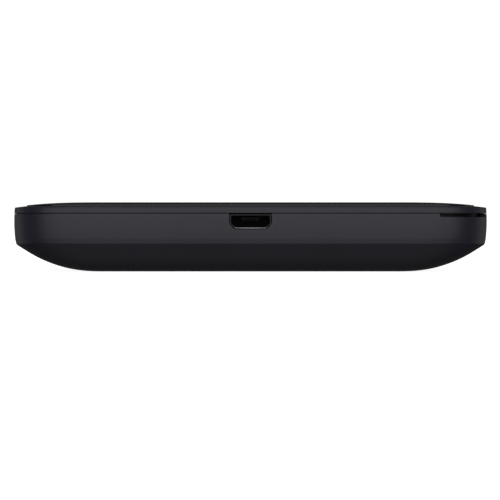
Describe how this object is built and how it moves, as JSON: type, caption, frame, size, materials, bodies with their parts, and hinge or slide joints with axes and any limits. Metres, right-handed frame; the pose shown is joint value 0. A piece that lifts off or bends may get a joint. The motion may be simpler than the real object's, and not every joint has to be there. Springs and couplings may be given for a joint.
{
  "type": "mobile hotspot",
  "caption": "Pocket mobile hotspot with a removable rear cover, replaceable battery, card slot and micro-USB receptacle.",
  "frame": {"origin": "middle of the case's bounding box in X and Y, on the plane the rear cover rests on", "axes": "+Z out of the front face, +X along the long side, -Y out of the micro-USB receptacle"},
  "size_m": [0.096, 0.06, 0.0141],
  "materials": {
    "case_plastic": "fine satin moulding texture",
    "panel_gloss": "polished",
    "key_plastic": "satin",
    "frame_plastic": "moulded",
    "light_guide": "clear moulded",
    "board": "solder mask",
    "steel": "stamped",
    "tin": "tinned sheet",
    "gold": "gold plated",
    "chip": "moulded resin",
    "ceramic": "fired ceramic",
    "battery_skin": "shrink wrap",
    "label": "printed film, left blank",
    "foam": "closed-cell foam",
    "adhesive": "double-sided tape",
    "copper_foil": "etched foil",
    "card": "laminated card",
    "switch_plastic": "moulded"
  },
  "bodies": {
    "rear_cover": {"rear_cover": "case_plastic", "cover_foam_pad": "foam"},
    "front_half": {"front_housing": "case_plastic", "front_panel": "panel_gloss", "panel_adhesive": "adhesive", "light_guide_1": "light_guide", "light_guide_2": "light_guide", "light_guide_3": "light_guide", "light_guide_4": "light_guide", "status_led_1": "ceramic", "status_led_2": "ceramic", "status_led_3": "ceramic", "status_led_4": "ceramic", "inner_frame": "frame_plastic", "bay_label": "label", "main_board": "board", "case_screw_1": "steel", "case_screw_2": "steel", "case_screw_3": "steel", "case_screw_4": "steel", "usb_shell": "steel", "usb_tongue": "frame_plastic", "usb_contact_1": "gold", "usb_contact_2": "gold", "usb_contact_3": "gold", "usb_contact_4": "gold", "usb_contact_5": "gold", "power_switch": "switch_plastic", "wps_switch": "switch_plastic", "reset_switch": "switch_plastic", "shield_can_radio": "tin", "shield_can_processor": "tin", "radio_chip": "chip", "amplifier_chip": "chip", "processor_chip": "chip", "memory_chip": "chip", "power_chip": "chip", "thermal_pad": "foam", "wifi_antenna": "ceramic", "main_antenna_carrier": "frame_plastic", "diversity_antenna_carrier": "frame_plastic", "main_antenna": "copper_foil", "diversity_antenna": "copper_foil", "main_antenna_spring": "gold", "diversity_antenna_spring": "gold", "sim_holder": "steel", "battery_contact_block": "frame_plastic", "battery_contact_1": "gold", "battery_contact_2": "gold", "battery_contact_3": "gold"},
    "battery": {"battery_pack": "battery_skin", "battery_label": "label"},
    "sim_card": {"sim_card": "card"},
    "power_key": {"power_key": "key_plastic", "power_switch_plunger": "frame_plastic"},
    "wps_key": {"wps_key": "key_plastic", "wps_switch_plunger": "frame_plastic"},
    "reset_plunger": {"reset_plunger": "frame_plastic"}
  },
  "joints": [
    {"name": "front_half_lift", "type": "slide", "parent": "rear_cover", "child": "front_half", "axis": [0, 0, 1], "range_m": [0, 0.03]},
    {"name": "battery_removal", "type": "slide", "parent": "front_half", "child": "battery", "axis": [0, 0, -1], "range_m": [0, 0.015]},
    {"name": "card_removal", "type": "slide", "parent": "front_half", "child": "sim_card", "axis": [-1, 0, 0], "range_m": [0, 0.015]},
    {"name": "power_key_press", "type": "slide", "parent": "front_half", "child": "power_key", "axis": [0, -1, 0], "range_m": [0, 0.00035], "stiffness_N_per_m": 3000},
    {"name": "wps_key_press", "type": "slide", "parent": "front_half", "child": "wps_key", "axis": [0, -1, 0], "range_m": [0, 0.00035], "stiffness_N_per_m": 3000},
    {"name": "reset_press", "type": "slide", "parent": "front_half", "child": "reset_plunger", "axis": [0, 0, 1], "range_m": [0, 0.00025], "stiffness_N_per_m": 4000}
  ],
  "couplings": [
    {"joint": "battery_removal", "follows": "front_half_lift", "ratio": 0.5},
    {"joint": "card_removal", "follows": "front_half_lift", "ratio": 0.5}
  ]
}
